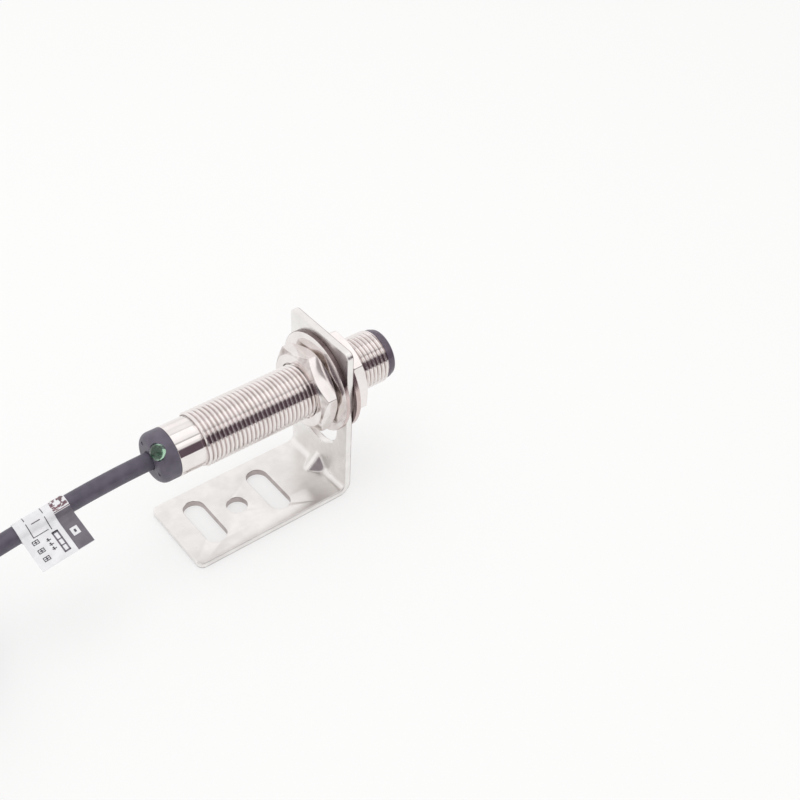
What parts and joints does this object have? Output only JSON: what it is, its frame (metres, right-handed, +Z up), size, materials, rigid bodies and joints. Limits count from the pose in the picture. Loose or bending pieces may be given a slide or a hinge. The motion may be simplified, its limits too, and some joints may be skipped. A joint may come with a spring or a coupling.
{
  "type": "photo sensor",
  "caption": "Round threaded photo sensor with a lens at its front, clamped by nuts and washers in an L-shaped sheet metal bracket, with a folded cable ending in bared cores.",
  "frame": {"origin": "centre of the foot's round screw hole, on the underside of the foot", "axes": "+X the way the lens looks, along the barrel; +Y across the bracket; +Z up, away from the surface that the foot is screwed to"},
  "size_m": [0.2012, 0.0342, 0.039],
  "materials": {
    "bracket_metal": "bright nickel plated sheet steel",
    "barrel_metal": "nickel plated brass, bright",
    "nut_metal": "nickel plated, bright",
    "washer_metal": "nickel plated, bright",
    "ring_plastic": "smooth, dark grey",
    "lens_plastic": "clear with a bluish coating",
    "seal_rubber": "matt black",
    "black_plastic": "matt black",
    "board_laminate": "green solder mask",
    "tan_ceramic": "tan ceramic with tinned ends",
    "white_plastic": "white",
    "indicator_plastic": "clear green",
    "cap_plastic": "satin dark grey",
    "cable_jacket": "satin dark grey jacket",
    "label_film": "printed white film",
    "tie_plastic": "translucent white",
    "brown_core": "brown insulation",
    "blue_core": "blue insulation",
    "black_core": "black insulation",
    "tinned_copper": "tinned"
  },
  "bodies": {
    "root": {"bracket": "bracket_metal", "barrel": "barrel_metal", "rear_nut": "nut_metal", "front_nut": "nut_metal", "rear_washer": "washer_metal", "front_washer": "washer_metal", "front_ring": "ring_plastic", "lens": "lens_plastic", "lens_seal": "seal_rubber", "optics_tube": "black_plastic", "light_receiver": "black_plastic", "circuit_board": "board_laminate", "comparator_ic": "black_plastic", "voltage_regulator": "black_plastic", "output_transistor": "black_plastic", "board_capacitors": "tan_ceramic", "board_resistors": "black_plastic", "indicator_emitter": "white_plastic", "indicator_led": "indicator_plastic", "rear_cap": "cap_plastic", "inner_cable_end": "cable_jacket", "inner_core_brown": "brown_core", "inner_core_blue": "blue_core", "inner_core_black": "black_core", "cable": "cable_jacket", "cable_label": "label_film", "cable_hank": "cable_jacket", "hank_tie": "tie_plastic", "cable_tail": "cable_jacket", "lead_brown": "brown_core", "lead_blue": "blue_core", "lead_black": "black_core", "lead_tips": "tinned_copper"}
  },
  "joints": []
}
